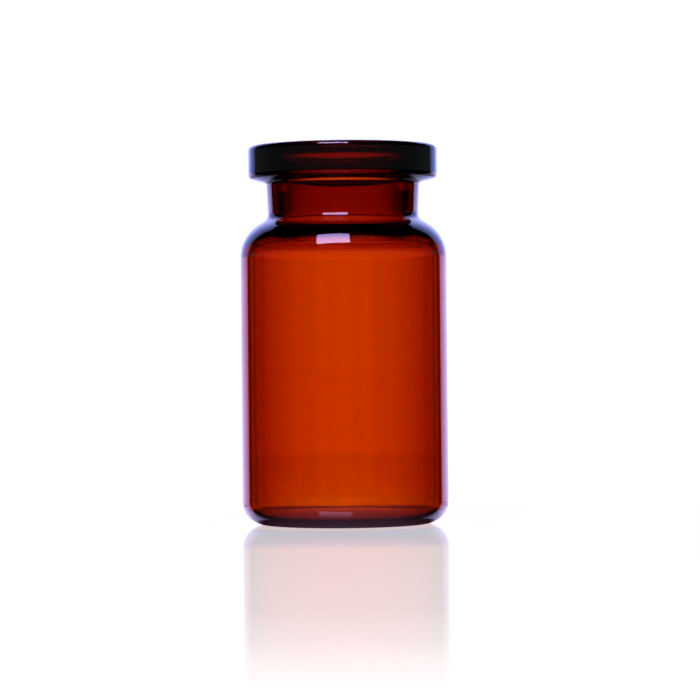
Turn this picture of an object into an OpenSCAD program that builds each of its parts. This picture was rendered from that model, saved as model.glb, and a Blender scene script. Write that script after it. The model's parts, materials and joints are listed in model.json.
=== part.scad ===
// Amber tubing-glass sample vial with a crimp finish, open at the mouth.
// One blown piece: a single revolved section, standing on its ring, +Z up through the mouth.

/* [Body] */
// Height from the standing ring to the top of the lip
vial_h = 40; // [36:0.5:60]
// Outside diameter of the tube
body_d = 21.8; // [20.6:0.1:25]
// Wall of the tube
wall_t = 1; // [0.7:0.05:1.4]

/* [Base] */
// Outside radius of the heel
heel_r = 2.5; // [1.5:0.1:3.2]
// Inside radius where the wall turns into the floor
floor_corner_r = 1.55; // [0.8:0.05:2.4]
// Thickness of the base
base_t = 0.93; // [0.7:0.01:1.5]
// Rise of the hollow pushed up under the base
push_up = 0.4; // [0.1:0.05:0.7]
// Width of the flat ring that the vial stands on
ring_w = 0.9; // [0.4:0.1:1.4]

/* [Shoulder] */
// Height from the end of the straight wall to the top of the lip
finish_h = 11.75; // [11.25:0.25:16]
// Slope of the shoulder's cone above the horizontal, in degrees
shoulder_slope = 32.1; // [26:0.1:36]
// Slope of the cone on its inside, in degrees
shoulder_in_slope = 30.3; // [27:0.1:36]
// Outside radius from the wall into the cone
shoulder_r = 4.05; // [2.5:0.05:4.5]
// Inside radius from the wall into the cone
shoulder_in_r = 2.25; // [0.6:0.05:3.6]
// Thickness of the cone at its foot
shoulder_t = 1.33; // [0.9:0.01:1.6]

/* [Neck] */
// Outside diameter at the foot of the neck
neck_d = 15.85; // [15:0.05:16.4]
// Widening of the neck towards the lip, on the diameter
neck_flare = 0.35; // [0.1:0.05:0.6]
// Diameter of the bore, which grips a stopper's plug
bore_d = 12.68; // [12.2:0.02:13.2]
// Outside fillet where the cone turns up into the neck
neck_fillet_r = 0.9; // [0.5:0.05:1.6]
// Rounding where the bore opens into the body
bore_foot_r = 2.8; // [1:0.1:3.4]

/* [Lip] */
// Diameter of the rolled lip
lip_d = 20; // [19:0.1:21]
// Height of the lip at its outside
lip_h = 3.38; // [2.8:0.02:3.8]
// Slope of the lip's underside, down towards the neck, in degrees
lip_under_slope = 14.2; // [5:0.2:25]
// Rounding of the lip's top outer edge
lip_top_r = 0.48; // [0.2:0.02:0.8]
// Rounding of the lip's lower outer edge
lip_bottom_r = 0.5; // [0.2:0.05:0.8]
// Fillet between the neck and the lip's underside
lip_fillet_r = 0.4; // [0.2:0.05:1]
// Rounding of the mouth's inner edge
mouth_r = 1.16; // [0.6:0.02:1.4]
// Widening of the bore inside the lip, on the radius
swell_w = 0.2; // [0.1:0.05:0.4]
// Depth of its widest place, as a share of the bore's height
swell_place = 0.33; // [0.28:0.01:0.38]
// Height over which it narrows again, as a share of the bore's height
swell_share = 0.225; // [0.15:0.005:0.28]
// Lean of the bore inwards from the widest place up to the mouth, in degrees
mouth_lean = 6.2; // [2:0.2:8]

/* [Hidden] */
$fn = 180;

amber = [0.56, 0.16, 0.02];
// Turn between neighbouring points of a rounded corner, in degrees
arc_step = 6;
// How much of the swell's lower side its two arcs take up
swell_round_share = 0.96;

body_r = body_d / 2;
cavity_r = body_r - wall_t;
bore_r = bore_d / 2;
lip_r = lip_d / 2;
neck_r = neck_d / 2;
neck_top_r = neck_r + neck_flare / 2;

// The cone's outer line meets the wall's line at shoulder_z
shoulder_z = vial_h - finish_h + shoulder_r * tan((90 - shoulder_slope) / 2);
function cone_z(r) = shoulder_z + (body_r - r) * tan(shoulder_slope);
// Its inner line meets the inner wall's line at cavity_z
cavity_z = cone_z(cavity_r) - shoulder_t / cos(shoulder_slope);
bore_foot_z = cavity_z + (cavity_r - bore_r) * tan(shoulder_in_slope);
bore_h = vial_h - bore_foot_z;

// The bore swells a little inside the lip, and narrows again towards the mouth
swell_depth = swell_place * bore_h;
swell_h = swell_share * bore_h;
swell_z = vial_h - swell_depth;
swell_turn = atan(swell_w / swell_h);
swell_reach = swell_round_share * norm([swell_w, swell_h]) / 2;

lip_bottom_z = vial_h - lip_h;
lip_foot_z = lip_bottom_z - (lip_r - neck_top_r) * tan(lip_under_slope);

// The hollow under the base is a shallow dome, and the floor above it follows it
hollow_r = body_r - heel_r - ring_w;
hollow_dome_r = (pow(hollow_r, 2) + pow(push_up, 2)) / (2 * push_up);
hollow_centre = [0, push_up - hollow_dome_r];

// Half of the section as sharp corners, each with its rounding: [radius, height, rounding]
outside = [
    [0, 0, 0],
    [body_r, 0, heel_r],
    [body_r, shoulder_z, shoulder_r],
    [neck_r, cone_z(neck_r), neck_fillet_r],
    [neck_top_r, lip_foot_z, lip_fillet_r],
    [lip_r, lip_bottom_z, lip_bottom_r],
    [lip_r, vial_h, lip_top_r]
];
inside = [
    [bore_r + swell_w - swell_depth * tan(mouth_lean), vial_h, mouth_r],
    [bore_r + swell_w, swell_z, swell_reach / tan((mouth_lean + swell_turn) / 2)],
    [bore_r, swell_z - swell_h, swell_reach / tan(swell_turn / 2)],
    [bore_r, bore_foot_z, bore_foot_r],
    [cavity_r, cavity_z, shoulder_in_r],
    [cavity_r, base_t, floor_corner_r],
    [0, base_t, 0]
];

function place(corner) = [corner[0], corner[1]];
function unit(v) = v / norm(v);
function cross_2d(u, v) = u[0] * v[1] - u[1] * v[0];

// Points of the arc that rounds the sharp corner b between its neighbours a and c
function arc(a, b, c, rounding) =
    let (
        to_a = unit(a - b),
        to_c = unit(c - b),
        half_angle = acos(to_a * to_c) / 2,
        centre = b + unit(to_a + to_c) * rounding / sin(half_angle),
        first = b + to_a * rounding / tan(half_angle) - centre,
        sweep = (180 - 2 * half_angle) * sign(cross_2d(to_c, to_a)),
        steps = ceil(abs(sweep) / arc_step)
    )
    [
        for (i = [0 : steps])
            let (angle = sweep * i / steps)
            centre + [
                first[0] * cos(angle) - first[1] * sin(angle),
                first[0] * sin(angle) + first[1] * cos(angle)
            ]
    ];

function rounded(corners) =
    let (count = len(corners))
    [
        for (i = [0 : count - 1])
            let (
                a = place(corners[(i + count - 1) % count]),
                b = place(corners[i]),
                c = place(corners[(i + 1) % count]),
                rounding = corners[i][2]
            )
            each rounding > 0 ? arc(a, b, c, rounding) : [b]
    ];

// The floor's dome, at the base's thickness above the hollow
module floor_dome() {
    intersection() {
        translate(hollow_centre) circle(r = hollow_dome_r + base_t);
        square([body_r - heel_r, base_t + push_up]);
    }
}

module hollow() {
    translate(hollow_centre) circle(r = hollow_dome_r);
}

module vial() {
    color(amber)
    rotate_extrude()
    difference() {
        union() {
            polygon(rounded(concat(outside, inside)));
            floor_dome();
        }
        hollow();
    }
}

vial();
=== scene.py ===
import json
from math import acos, asin, atan, ceil, cos, pi, radians, sin, tan

import bmesh
import bpy
from mathutils import Matrix, Vector


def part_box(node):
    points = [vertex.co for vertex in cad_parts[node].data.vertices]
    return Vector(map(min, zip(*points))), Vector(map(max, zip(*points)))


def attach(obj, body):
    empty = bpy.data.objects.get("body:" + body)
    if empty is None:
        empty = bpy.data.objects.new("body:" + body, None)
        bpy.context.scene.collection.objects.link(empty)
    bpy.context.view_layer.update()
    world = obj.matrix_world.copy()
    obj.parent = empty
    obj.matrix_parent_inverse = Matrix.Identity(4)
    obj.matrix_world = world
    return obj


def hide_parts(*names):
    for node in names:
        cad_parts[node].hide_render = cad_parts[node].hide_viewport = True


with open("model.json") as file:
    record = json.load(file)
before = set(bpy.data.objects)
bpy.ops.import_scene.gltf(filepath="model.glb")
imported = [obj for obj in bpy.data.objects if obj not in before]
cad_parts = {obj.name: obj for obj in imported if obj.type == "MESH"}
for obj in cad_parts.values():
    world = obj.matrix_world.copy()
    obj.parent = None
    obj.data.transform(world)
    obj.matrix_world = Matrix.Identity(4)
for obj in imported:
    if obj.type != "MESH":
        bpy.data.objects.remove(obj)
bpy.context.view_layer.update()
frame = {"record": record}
scene = bpy.context.scene
scene.view_settings.view_transform = "Standard"
mm = 0.001
mounts = {mount["name"]: mount for mount in frame["record"]["mounts"]}
vialLow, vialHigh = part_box("vial")
print("frame loaded", [round(size / mm, 2) for size in vialHigh - vialLow])

# camera: close up and level with the middle of the vial, turned a little about its own axis
shot = {
    "distance": 311.8 * mm,
    "elevation": -0.36,      # degrees
    "roll": 0.54,            # degrees
    "lens": 151.3,           # millimetres on a 36 mm sensor
    "aside": 0.62 * mm,      # the picture's centre lies this far right of the vial's middle
    "below": 1.60 * mm,      # and this far below it
    "nearest": 10 * mm,      # what is closer than this isn't shown
}


def addCamera():
    tilt = radians(shot["elevation"])
    roll = radians(shot["roll"])
    middle = (vialLow + vialHigh) / 2
    back = Vector((0, -cos(tilt), sin(tilt)))
    place = middle + back * shot["distance"]
    level = Vector((1, 0, 0))
    upright = Vector((0, sin(tilt), cos(tilt)))
    right = level * cos(roll) - upright * sin(roll)
    up = level * sin(roll) + upright * cos(roll)
    aim = middle + right * shot["aside"] - up * shot["below"]
    depth = (place - aim).normalized()
    right = up.cross(depth).normalized()
    up = depth.cross(right)
    data = bpy.data.cameras.new("camera")
    data.lens = shot["lens"]
    data.clip_start = shot["nearest"]
    camera = bpy.data.objects.new("camera", data)
    camera.matrix_world = Matrix.Translation(place) @ Matrix((right, up, depth)).transposed().to_4x4()
    scene.collection.objects.link(camera)
    scene.camera = camera


addCamera()
print("camera placed")

# section of the glass, in millimetres and degrees
section = {
    "wall": 1.0,
    # base: outer and inner rounding, thickness, hollow below and the ring that it stands on
    "heelR": 2.5, "floorCornerR": 1.55, "base": 0.93, "pushUp": 0.4, "ring": 0.9,
    # shoulder: its height up to the top of the lip, then its outside and its inside
    "finish": 11.75, "shoulderSlope": 32.1, "shoulderR": 4.05,
    "shoulderWall": 1.33, "shoulderInSlope": 30.3, "shoulderInR": 2.25,
    # neck, which widens a little upwards, and the foot of the bore
    "neckR": 7.925, "neckFlare": 0.175, "neckFilletR": 0.9, "boreFootR": 2.8,
    # swell of the bore inside the lip: its depth and height are shares of the bore's height
    "swell": 0.2, "swellPlace": 0.33, "swellShare": 0.225, "swellRound": 0.96, "mouthLean": 6.2,
    # lip: height, slope of its underside, and its roundings
    "lip": 3.38, "underSlope": 14.2,
    "lipTopR": 0.48, "lipBottomR": 0.5, "lipFilletR": 0.4, "mouthRound": 1.16,
    "arcStep": 3.0,          # degrees between the points of a rounding
    "turns": 240,            # steps round the axis
    "support": 0.04,         # distance of the extra loops from the ends of a straight stretch
    "supportShare": 0.3,     # a stretch gets them where that is less than this share of it
    "weld": 1e-4,            # points closer together than this are merged
    "sliver": 1e-5,          # and edges shorter than this dissolved
}


def vialCorners():
    s = section
    height = vialHigh.z / mm
    bodyR = vialHigh.x / mm
    boreR = mounts["mouth"]["dims"]["r_mm"]
    lipR = mounts["lip_rim"]["dims"]["r_mm"]
    cavityR = bodyR - s["wall"]
    rise = tan(radians(s["shoulderSlope"]))
    shoulderZ = height - s["finish"] + s["shoulderR"] * tan(radians(90 - s["shoulderSlope"]) / 2)
    cavityZ = shoulderZ + s["wall"] * rise - s["shoulderWall"] / cos(radians(s["shoulderSlope"]))
    boreFootZ = cavityZ + (cavityR - boreR) * tan(radians(s["shoulderInSlope"]))
    neckTopR = s["neckR"] + s["neckFlare"]
    swellDown, swellHigh = ((height - boreFootZ) * s[name] for name in ("swellPlace", "swellShare"))
    swellZ = height - swellDown
    lean = radians(s["mouthLean"])
    swellTurn = atan(s["swell"] / swellHigh)
    swellReach = s["swellRound"] * swellHigh / cos(swellTurn) / 2
    lipZ = height - s["lip"]
    hollowR = bodyR - s["heelR"] - s["ring"]
    domeR = (hollowR ** 2 + s["pushUp"] ** 2) / (2 * s["pushUp"])
    floorDomeR = domeR + s["base"]
    floorR = (floorDomeR ** 2 - (floorDomeR - s["pushUp"]) ** 2) ** 0.5
    corners = [             # radius, height, rounding
        (hollowR, 0, 0),
        (bodyR, 0, s["heelR"]),
        (bodyR, shoulderZ, s["shoulderR"]),
        (s["neckR"], shoulderZ + (bodyR - s["neckR"]) * rise, s["neckFilletR"]),
        (neckTopR, lipZ - (lipR - neckTopR) * tan(radians(s["underSlope"])), s["lipFilletR"]),
        (lipR, lipZ, s["lipBottomR"]),
        (lipR, height, s["lipTopR"]),
        (boreR + s["swell"] - swellDown * tan(lean), height, s["mouthRound"]),
        (boreR + s["swell"], swellZ, swellReach / tan((lean + swellTurn) / 2)),
        (boreR, swellZ - swellHigh, swellReach / tan(swellTurn / 2)),
        (boreR, boreFootZ, s["boreFootR"]),
        (cavityR, cavityZ, s["shoulderInR"]),
        (cavityR, s["base"], s["floorCornerR"]),
        (floorR, s["base"], 0),
    ]
    return corners, domeR, floorDomeR


def spinPoint(bm, vert, centre, turn):
    # draws an arc by swinging a point about a centre in the section's plane
    steps = max(2, ceil(abs(turn) / radians(section["arcStep"])))
    swung = bmesh.ops.spin(bm, geom=[vert], cent=centre, axis=(0, -1, 0), dvec=(0, 0, 0),
                           angle=turn, steps=steps, use_merge=False, use_duplicate=False)
    return [item for item in swung["geom_last"] if isinstance(item, bmesh.types.BMVert)][0]


def drawLine(bm, start, end):
    # a straight stretch, with a point close to each end to hold the shading of the roundings
    edge = bm.edges.new((start, end))
    share = section["support"] * mm / edge.calc_length()
    if share < section["supportShare"]:
        edge, near = bmesh.utils.edge_split(edge, start, share)
        rest = [other for other in near.link_edges if end in other.verts][0]
        bmesh.utils.edge_split(rest, end, share)


def drawSection(bm):
    corners, domeR, floorDomeR = vialCorners()
    points = [Vector((radius, 0, height)) * mm for radius, height, rounding in corners]
    top = Vector((0, 0, section["pushUp"])) * mm
    floorTop = Vector((0, 0, section["pushUp"] + section["base"])) * mm
    # hollow under the base, from the axis outwards
    last = spinPoint(bm, bm.verts.new(top), top - Vector((0, 0, domeR * mm)), -asin(corners[0][0] / domeR))
    for i in range(1, len(corners) - 1):
        before, here, after = points[i - 1], points[i], points[i + 1]
        rounding = corners[i][2] * mm
        toBefore = (before - here).normalized()
        toAfter = (after - here).normalized()
        half = acos(toBefore.dot(toAfter)) / 2
        centre = here + (toBefore + toAfter).normalized() * rounding / sin(half)
        side = 1 if toAfter.cross(toBefore).y < 0 else -1
        first = bm.verts.new(here + toBefore * rounding / tan(half))
        drawLine(bm, last, first)
        last = spinPoint(bm, first, centre, side * (pi - 2 * half))
    # floor, from the corner's foot up its dome to the axis
    foot = bm.verts.new(points[-1])
    drawLine(bm, last, foot)
    spinPoint(bm, foot, floorTop - Vector((0, 0, floorDomeR * mm)), asin(corners[-1][0] / floorDomeR))


# amber: absorption of red, green and blue light per millimetre of glass, and refractive index
amber = {"red": 0.90, "green": 2.27, "blue": 8.0, "ior": 1.51}


def amberGlass():
    material = bpy.data.materials.new("amberGlass")
    material.use_nodes = True
    nodes = material.node_tree.nodes
    links = material.node_tree.links
    nodes.clear()
    output = nodes.new("ShaderNodeOutputMaterial")
    glass = nodes.new("ShaderNodeBsdfPrincipled")
    glass.inputs["Base Color"].default_value = (1, 1, 1, 1)
    glass.inputs["Roughness"].default_value = 0
    glass.inputs["IOR"].default_value = amber["ior"]
    glass.inputs["Transmission Weight"].default_value = 1
    body = nodes.new("ShaderNodeVolumeAbsorption")
    body.inputs["Density"].default_value = amber["blue"] / mm
    kept = [1 - amber[name] / amber["blue"] for name in ("red", "green", "blue")]
    body.inputs["Color"].default_value = kept + [1]
    links.new(glass.outputs["BSDF"], output.inputs["Surface"])
    links.new(body.outputs["Volume"], output.inputs["Volume"])
    return material


def addVial():
    bm = bmesh.new()
    drawSection(bm)
    bmesh.ops.spin(bm, geom=bm.verts[:] + bm.edges[:], cent=(0, 0, 0), axis=(0, 0, 1), dvec=(0, 0, 0),
                   angle=2 * pi, steps=section["turns"], use_merge=True, use_duplicate=False)
    bmesh.ops.remove_doubles(bm, verts=bm.verts[:], dist=section["weld"] * mm)
    bmesh.ops.dissolve_degenerate(bm, edges=bm.edges[:], dist=section["sliver"] * mm)
    bmesh.ops.recalc_face_normals(bm, faces=bm.faces[:])
    for face in bm.faces:
        face.smooth = True
    volume = round(bm.calc_volume(signed=True) / mm ** 3, 1)
    openEdges = sum(1 for edge in bm.edges if not edge.is_manifold)
    print("vial", len(bm.faces), "faces, glass", volume, "mm3, open edges", openEdges)
    mesh = bpy.data.meshes.new("glassVial")
    bm.to_mesh(mesh)
    bm.free()
    vial = bpy.data.objects.new("glassVial", mesh)
    scene.collection.objects.link(vial)
    mesh.materials.append(amberGlass())
    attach(vial, "root")
    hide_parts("vial")


addVial()


# short forms for the nodes of the floor and the room
def feed(tree, socket, value):
    # an input takes a number, a colour or a link
    if isinstance(value, (int, float)):
        socket.default_value = value
    elif isinstance(value, tuple):
        socket.default_value = value + (1,)
    else:
        tree.links.new(value, socket)


def mathNode(tree, operation, *values):
    node = tree.nodes.new("ShaderNodeMath")
    node.operation = operation
    for socket, value in zip(node.inputs, values):
        feed(tree, socket, value)
    return node.outputs[0]


def product(tree, first, *others):
    for value in others:
        first = mathNode(tree, "MULTIPLY", first, value)
    return first


def restOf(tree, share):
    return mathNode(tree, "SUBTRACT", 1, share)


def moreThan(tree, count, limit):
    # 1 where a whole number lies above a limit, and otherwise 0
    return mathNode(tree, "GREATER_THAN", count, limit + 0.5)


def fadeNode(tree, value, start, end):
    # rises from 0 at the start to 1 at the end
    fade = tree.nodes.new("ShaderNodeMapRange")
    fade.interpolation_type = "SMOOTHSTEP"
    fade.inputs["From Min"].default_value = start
    fade.inputs["From Max"].default_value = end
    tree.links.new(value, fade.inputs["Value"])
    return fade.outputs[0]


def riseNode(tree, up, start, end):
    # the same, by degrees above the horizon
    return fadeNode(tree, up, sin(radians(start)), sin(radians(end)))


def mixColor(tree, share, first, second):
    mix = tree.nodes.new("ShaderNodeMix")
    mix.data_type = "RGBA"
    for name, value in (("Factor", share), ("A", first), ("B", second)):
        feed(tree, mix.inputs[name], value)
    return mix.outputs["Result"]


def rampNode(tree, value, stops, level=(1, 1, 1)):
    # at set places of a value, a level's share, or its shares of red, green and blue
    ramp = tree.nodes.new("ShaderNodeValToRGB")
    reach = max(stops)
    tree.links.new(mathNode(tree, "DIVIDE", value, reach), ramp.inputs["Fac"])
    elements = ramp.color_ramp.elements
    elements.remove(elements[-1])
    for count, (place, share) in enumerate(stops.items()):
        stop = elements[0] if count == 0 else elements.new(place / reach)
        stop.position = place / reach
        shares = share if isinstance(share, tuple) else (share,) * 3
        stop.color = [part * left for part, left in zip(level, shares)] + [1]
    return ramp.outputs["Color"]


def shaderNode(tree, kind, **settings):
    shader = tree.nodes.new("ShaderNode" + kind)
    for name, value in settings.items():
        feed(tree, shader.inputs[name], value)
    return shader.outputs[0]


def mixShader(tree, share, first, second):
    mix = tree.nodes.new("ShaderNodeMixShader")
    for socket, value in zip(mix.inputs, (share, first, second)):
        tree.links.new(value, socket)
    return mix.outputs[0]


def addShader(tree, first, second):
    total = tree.nodes.new("ShaderNodeAddShader")
    for socket, value in zip(total.inputs, (first, second)):
        tree.links.new(value, socket)
    return total.outputs[0]


def splitNode(tree, vector):
    split = tree.nodes.new("ShaderNodeSeparateXYZ")
    tree.links.new(vector, split.inputs[0])
    return split.outputs


# light that comes through the glass: shares of its level by degrees aside of straight ahead
backdrop = {
    "level": (3.9, 3.9, 3.9),
    # near the horizon and higher up, alike on all four sides
    "low": {
        0: (0.955, 0.95, 1), 2.2: (0.95, 0.9, 1), 4.3: (0.88, 0.83, 1), 8.5: (0.76, 0.6, 1),
        12.7: (0.655, 0.385, 1), 18.5: (0.385, 0.44, 1), 21: (0.43, 0.54, 1), 24: (0.95, 1.5, 1),
        33: (1.25, 1, 1), 36.5: (0.54, 0.4, 1), 39: (0.36, 0.3, 1), 45: (0.35, 0.3, 1),
    },
    "high": {
        0: (1.03, 1, 1), 7.4: (1, 0.92, 1), 10: (0.95, 0.76, 1), 13.4: (0.86, 0.55, 1), 17: (0.6, 0.4, 1),
        21: (0.36, 0.28, 1), 26: (0.2, 0.18, 1), 38: (0.13, 0.1, 1), 45: (0.07, 0.07, 1),
    },
    # higher up and reflected inside the glass before, nearly dark past its last place
    "turned": {
        0: 1, 10: (0.93, 0.75, 1), 17: (0.64, 0.4, 1), 22: (0.4, 0.3, 1), 26: (0.6, 0.5, 1),
        33: (0.8, 0.6, 1), 37: (0.3, 0.3, 1), 40: (0.1, 0.1, 1), 45: (0.05, 0.05, 1),
    },
    "highFrom": 1.8, "highTo": 2.4,      # degrees above the horizon over which low gives way to high
    # what is left of it by degrees above the horizon
    "rise": {0: 1, 18: 1, 21: 0.7, 24: 0.2, 27: 0.3, 30: 0.8, 38: 0.6, 46: 0.86, 56: 0.74, 66: 0.22, 72: 0},
    # by way of the floor, in degrees above the horizon: there it grows even all round,
    "evenFrom": 6, "evenTo": 10,
    # and this share of it is lost where it was reflected inside the glass before
    "lost": 0.9, "lostFrom": 13, "lostTo": 18,
}


def backdropLight(tree, aside, up, bounced, turned):
    light = backdrop
    straight = restOf(tree, bounced)
    folded = mathNode(tree, "PINGPONG", aside, max(light["low"]))
    low, above = (rampNode(tree, folded, light[name], light["level"]) for name in ("low", "high"))
    again = rampNode(tree, aside, light["turned"], light["level"])
    high = product(tree, straight, riseNode(tree, up, light["highFrom"], light["highTo"]))
    color = mixColor(tree, high, low, mixColor(tree, turned, above, again))
    even = product(tree, bounced, riseNode(tree, up, light["evenFrom"], light["evenTo"]))
    color = mixColor(tree, even, color, light["level"])
    lost = product(tree, turned, light["lost"], riseNode(tree, up, light["lostFrom"], light["lostTo"]))
    raised = mathNode(tree, "DEGREES", mathNode(tree, "ARCSINE", up))
    direct = product(tree, straight, rampNode(tree, raised, light["rise"]))
    share = mathNode(tree, "ADD", product(tree, bounced, restOf(tree, lost)), direct)
    return mixColor(tree, share, (0, 0, 0), color)


# lilac light that the glass reflects at its edges, by degrees aside as well, but only on the far side
rim = {
    "level": (0.9, 1.0, 2.3),
    "low": {
        0: (1.05, 1, 0.9), 15: (1.27, 1.03, 0.82), 21.8: (1.58, 1.14, 0.84), 27: (1.72, 1.12, 0.9),
        31: (1.48, 1.02, 0.91), 35.3: (1.2, 0.95, 0.83), 38.8: (0.8, 0.78, 0.66),
        42: (0.73, 0.72, 0.6), 44.2: 0,
    },
    "high": {
        0: (1.15, 1.15, 1.1), 13: (1.1, 1.1, 1.1), 20: (1.05, 1.05, 1), 30: (0.62, 0.68, 0.84),
        39: (0.45, 0.45, 0.5), 44.5: (0.3, 0.3, 0.35), 46: 0,
    },
    "highFrom": 1.2, "highTo": 2.8,      # degrees above the horizon over which low gives way to high
    "bandTop": 41, "bandSoft": 3,        # degrees above the horizon where it ends, and over which it fades
    # dim light of the rest of the room, in a narrow band above the horizon
    "dim": (0.06, 0.07, 0.08), "dimFrom": 2.0, "dimTo": 2.5, "dimEnd": 6, "dimTop": 8,
}


def rimLight(tree, aside, up, twice):
    light = rim
    once = restOf(tree, twice)
    low, above = (rampNode(tree, aside, light[name], light["level"]) for name in ("low", "high"))
    high = product(tree, once, riseNode(tree, up, light["highFrom"], light["highTo"]))
    top, soft = light["bandTop"], light["bandSoft"] / 2
    band = riseNode(tree, up, top + soft, top - soft)
    color = mixColor(tree, band, (0, 0, 0), mixColor(tree, high, low, above))
    beside = mathNode(tree, "GREATER_THAN", aside, max(light["high"]))
    dimUp = riseNode(tree, up, light["dimFrom"], light["dimTo"])
    dimDown = riseNode(tree, up, light["dimTop"], light["dimEnd"])
    return mixColor(tree, product(tree, once, beside, dimUp, dimDown), color, light["dim"])


# key light: a flat panel in front and above, nearly upright; its edges are shares of its distance
key = {
    "lean": 9.8,             # degrees
    "left": -0.58, "right": 0.14, "bottom": 0.455, "top": 1.44, "soft": 0.015,
    "flare": 0.12,           # how far its left edge leans out towards the top
    "low": (12.0, 9.3, 15.2), "high": (5.9, 4.5, 13.2),      # its light at the bottom and at the top
    "second": 0.25,          # what is left of it after two reflections
}


def keyLight(tree, across, away, up):
    lean = radians(key["lean"])
    depth = mathNode(tree, "SUBTRACT", product(tree, up, sin(lean)), product(tree, away, cos(lean)))
    raised = mathNode(tree, "ADD", product(tree, up, cos(lean)), product(tree, away, sin(lean)))
    side = mathNode(tree, "DIVIDE", across, depth)
    height = mathNode(tree, "DIVIDE", raised, depth)
    flare = product(tree, mathNode(tree, "SUBTRACT", height, key["bottom"]), key["flare"])
    leaning = mathNode(tree, "ADD", side, flare)
    inside = mathNode(tree, "GREATER_THAN", depth, 0)
    edges = {"left": (leaning, 1), "right": (side, -1), "bottom": (height, 1), "top": (height, -1)}
    for name, (place, turn) in edges.items():
        inside = product(tree, inside, fadeNode(tree, place, key[name], key[name] + turn * key["soft"]))
    tone = mixColor(tree, fadeNode(tree, height, key["bottom"], key["top"]), key["low"], key["high"])
    return tone, inside


# pale glossy sheet: white to the eye with a weak sheen and with painted shade and glow around the vial, and
# a mirror to light that comes from the glass, painted dark close to the vial;
# places are metres from the vial's axis
sheet = {
    "size": 3.0,
    "white": 0.1,             # its own colour
    # lift to the eye, with painted light and shade by distance from the vial's axis: a bright pinkish ring
    # at its foot, a darker bluish shade from 13.5 to 36 mm, a warm glow as of light through the amber from
    # 41 to 150 mm, and near white beyond
    "liftAndPaintedShade": {
        0.0095: (1.3, 1.05, 1.1), 0.0118: (1.28, 1.05, 1.1), 0.0135: (0.99, 0.97, 1.09),
        0.031: (0.98, 0.97, 1.09), 0.036: (0.96, 0.96, 1.05), 0.041: (1.06, 0.97, 0.975),
        0.15: (1.06, 0.98, 0.985), 0.19: (1.05, 1.03, 1.03),
    },
    # its sheen: strength, roughness and refractive index
    "sheen": {0.031: 0.69, 0.041: 0.57, 0.105: 0.57, 0.127: 0.43, 0.142: 0.24, 0.165: 0},
    "blur": 0.02, "ior": 1.5,
    # what its mirror throws back, as reflected in the glass and as seen through it; both are painted shade
    # that darkens to black close to the vial, within 10 to 16 mm of its axis, and the part seen through the
    # glass is painted greener out to 77 mm
    "rim": {0.010: 0, 0.016: 1},
    "back": {
        0.009: 0, 0.012: (0.25, 0.3, 1), 0.014: (0.58, 0.7, 1), 0.016: (0.7, 0.9, 1), 0.021: (0.97, 1.4, 1),
        0.043: (0.96, 1.4, 1), 0.055: (0.95, 1.2, 1), 0.066: (0.94, 1.12, 1), 0.077: (0.93, 1, 1),
        0.1: (0.92, 0.9, 1), 0.196: (0.89, 0.81, 1), 0.235: (1, 0.94, 1),
    },
    "paintedShadeTurn": 0.004,         # metres by which the start of that painted shade in the glass's reflection comes closer at the sides and behind
    # as reflected in the glass, it mirrors in full close by and this many times a plain sheen further out
    "glance": 1.4, "glanceFrom": 0.018, "glanceTo": 0.024,
    # painted lilac glow on the floor beside the vial, strongest in front and dim right at its foot, seen
    # only as reflected in the glass
    "near": {
        0.0088: (0.1, 0.05, 0.08), 0.0096: (0.36, 0.17, 0.34), 0.0105: (0.31, 0.2, 0.36),
        0.015: (0.3, 0.2, 0.34), 0.04: 0,
    },
    "paintedGlowTurn": 3,            # how fast that painted glow goes away from the front
}


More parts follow.
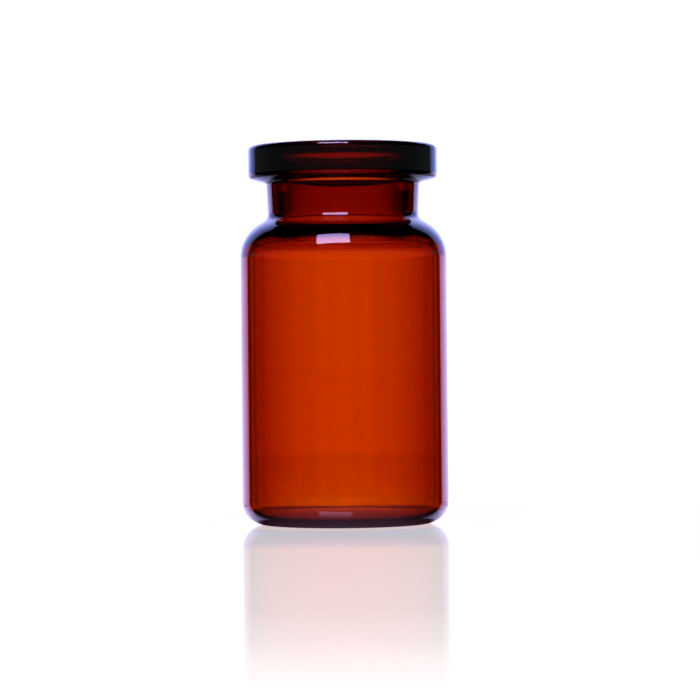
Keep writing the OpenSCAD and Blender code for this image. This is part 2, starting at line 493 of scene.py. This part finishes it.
def paleSheet():
    material = bpy.data.materials.new("paleSheet")
    material.use_nodes = True
    tree = material.node_tree
    tree.nodes.clear()
    output = tree.nodes.new("ShaderNodeOutputMaterial")
    path = tree.nodes.new("ShaderNodeLightPath").outputs
    where = tree.nodes.new("ShaderNodeTexCoord").outputs["Object"]
    length = tree.nodes.new("ShaderNodeVectorMath")
    length.operation = "LENGTH"
    tree.links.new(where, length.inputs[0])
    reach = length.outputs["Value"]
    fresnel = tree.nodes.new("ShaderNodeFresnel")
    fresnel.inputs["IOR"].default_value = sheet["ior"]
    grazing = fresnel.outputs[0]

    # to the eye
    diffuse = shaderNode(tree, "BsdfDiffuse", Color=(sheet["white"],) * 3)
    # painted shade and glow by distance from the vial's axis, shown to the eye as emission
    liftAndShadeColor = rampNode(tree, reach, sheet["liftAndPaintedShade"])
    liftAndPaintedShade = shaderNode(tree, "Emission", Color=liftAndShadeColor, Strength=path["Is Camera Ray"])
    sheen = shaderNode(tree, "BsdfGlossy", Roughness=sheet["blur"])
    strength = product(tree, rampNode(tree, reach, sheet["sheen"]), grazing)
    shown = mixShader(tree, strength, addShader(tree, diffuse, liftAndPaintedShade), sheen)

    # to the glass
    reflected = product(tree, path["Is Singular Ray"], path["Is Glossy Ray"])
    facing = mathNode(tree, "DIVIDE", splitNode(tree, where)["Y"], product(tree, reach, -1))
    front = mathNode(tree, "MAXIMUM", facing, 0)
    shifted = mathNode(tree, "ADD", reach, product(tree, restOf(tree, front), sheet["paintedShadeTurn"]))
    glance = mathNode(tree, "MINIMUM", product(tree, grazing, sheet["glance"]), 1)
    close = fadeNode(tree, reach, sheet["glanceTo"], sheet["glanceFrom"])
    glance = mathNode(tree, "MAXIMUM", glance, close)
    # painted contact shade in the mirror's colours: dark close to the vial in the glass's reflection and
    # through the glass, and greener through it further out
    fromRim = mixColor(tree, glance, (0, 0, 0), rampNode(tree, shifted, sheet["rim"]))
    fromBack = rampNode(tree, reach, sheet["back"])
    for ray, color in ((reflected, fromRim), (path["Is Transmission Ray"], fromBack)):
        shown = mixShader(tree, ray, shown, shaderNode(tree, "BsdfGlossy", Color=color, Roughness=0))
    # painted lilac glow in front of the vial, shown only to the glass's reflections
    level = product(tree, reflected, mathNode(tree, "POWER", front, sheet["paintedGlowTurn"]))
    near = shaderNode(tree, "Emission", Color=rampNode(tree, reach, sheet["near"]), Strength=level)
    tree.links.new(addShader(tree, shown, near), output.inputs["Surface"])
    return material


def addFloor():
    bm = bmesh.new()
    bmesh.ops.create_grid(bm, x_segments=1, y_segments=1, size=sheet["size"])
    mesh = bpy.data.meshes.new("floor")
    bm.to_mesh(mesh)
    bm.free()
    floor = bpy.data.objects.new("floor", mesh)
    scene.collection.objects.link(floor)
    mesh.materials.append(paleSheet())


addFloor()
print("floor laid")

# room: levels to the eye, in the floor's sheen up to so many turns of the light, and as fill
room = {"eye": 1.02, "sheen": 1.2, "sheenTurns": 2, "fill": 0.5}


def addRoom():
    world = bpy.data.worlds.new("room")
    scene.world = world
    world.cycles.sampling_method = "NONE"
    world.use_nodes = True
    tree = world.node_tree
    tree.nodes.clear()
    output = tree.nodes.new("ShaderNodeOutputWorld")
    path = tree.nodes.new("ShaderNodeLightPath").outputs
    across, away, up = splitNode(tree, tree.nodes.new("ShaderNodeTexCoord").outputs["Generated"])
    aside = mathNode(tree, "DEGREES", mathNode(tree, "ARCTAN2", mathNode(tree, "ABSOLUTE", across), away))

    # plain white room
    glossy = path["Is Glossy Ray"]
    early = restOf(tree, moreThan(tree, path["Ray Depth"], room["sheenTurns"]))
    level = room["fill"]
    for ray, value in ((glossy, product(tree, early, room["sheen"])), (path["Is Camera Ray"], room["eye"])):
        level = mathNode(tree, "ADD", product(tree, restOf(tree, ray), level), product(tree, ray, value))
    shown = shaderNode(tree, "Background", Color=(1, 1, 1), Strength=level)

    # what the glass reflects, and what comes through it
    reflected = product(tree, glossy, path["Is Singular Ray"])
    through = moreThan(tree, path["Transmission Depth"], 0)
    twice = moreThan(tree, path["Glossy Depth"], 1)
    bounced = restOf(tree, path["Is Transmission Ray"])      # the last turn was a reflection
    before = mathNode(tree, "SUBTRACT", path["Glossy Depth"], bounced)
    turned = moreThan(tree, before, 0)      # there was a reflection before the last turn
    fromRim = rimLight(tree, aside, up, twice)
    fromBack = backdropLight(tree, aside, up, bounced, turned)
    for ray, color in ((reflected, fromRim), (through, fromBack)):
        shown = mixShader(tree, ray, shown, shaderNode(tree, "Background", Color=color))

    # key light on top, seen by the glass and the floor's sheen
    tone, inside = keyLight(tree, across, away, up)
    share = restOf(tree, product(tree, twice, 1 - key["second"]))
    seen = mathNode(tree, "MAXIMUM", glossy, path["Is Transmission Ray"])
    lamp = shaderNode(tree, "Background", Color=tone, Strength=product(tree, inside, share, seen))
    tree.links.new(addShader(tree, shown, lamp), output.inputs["Surface"])


addRoom()

# soft box: place and size in metres; it only lights the floor, the key light above does the reflections
softBox = {"at": (-0.068, -0.321, 0.407), "aim": (0, 0, 0.03), "size": (0.28, 0.287), "radiance": 3.0}


def addSoftBox():
    data = bpy.data.lights.new("softBox", "AREA")
    data.shape = "RECTANGLE"
    data.size, data.size_y = softBox["size"]
    data.energy = softBox["radiance"] * pi * data.size * data.size_y
    lamp = bpy.data.objects.new("softBox", data)
    lamp.location = softBox["at"]
    facing = Vector(softBox["aim"]) - Vector(softBox["at"])
    lamp.rotation_euler = facing.to_track_quat("-Z", "Y").to_euler()
    lamp.visible_camera = False
    lamp.visible_glossy = False
    lamp.visible_transmission = False
    scene.collection.objects.link(lamp)


addSoftBox()

# how often light may turn in all, pass through glass and be reflected
turnLimit = {"all": 32, "through": 32, "reflected": 16}
scene.cycles.max_bounces = turnLimit["all"]
scene.cycles.transmission_bounces = turnLimit["through"]
scene.cycles.glossy_bounces = turnLimit["reflected"]
print("lit")
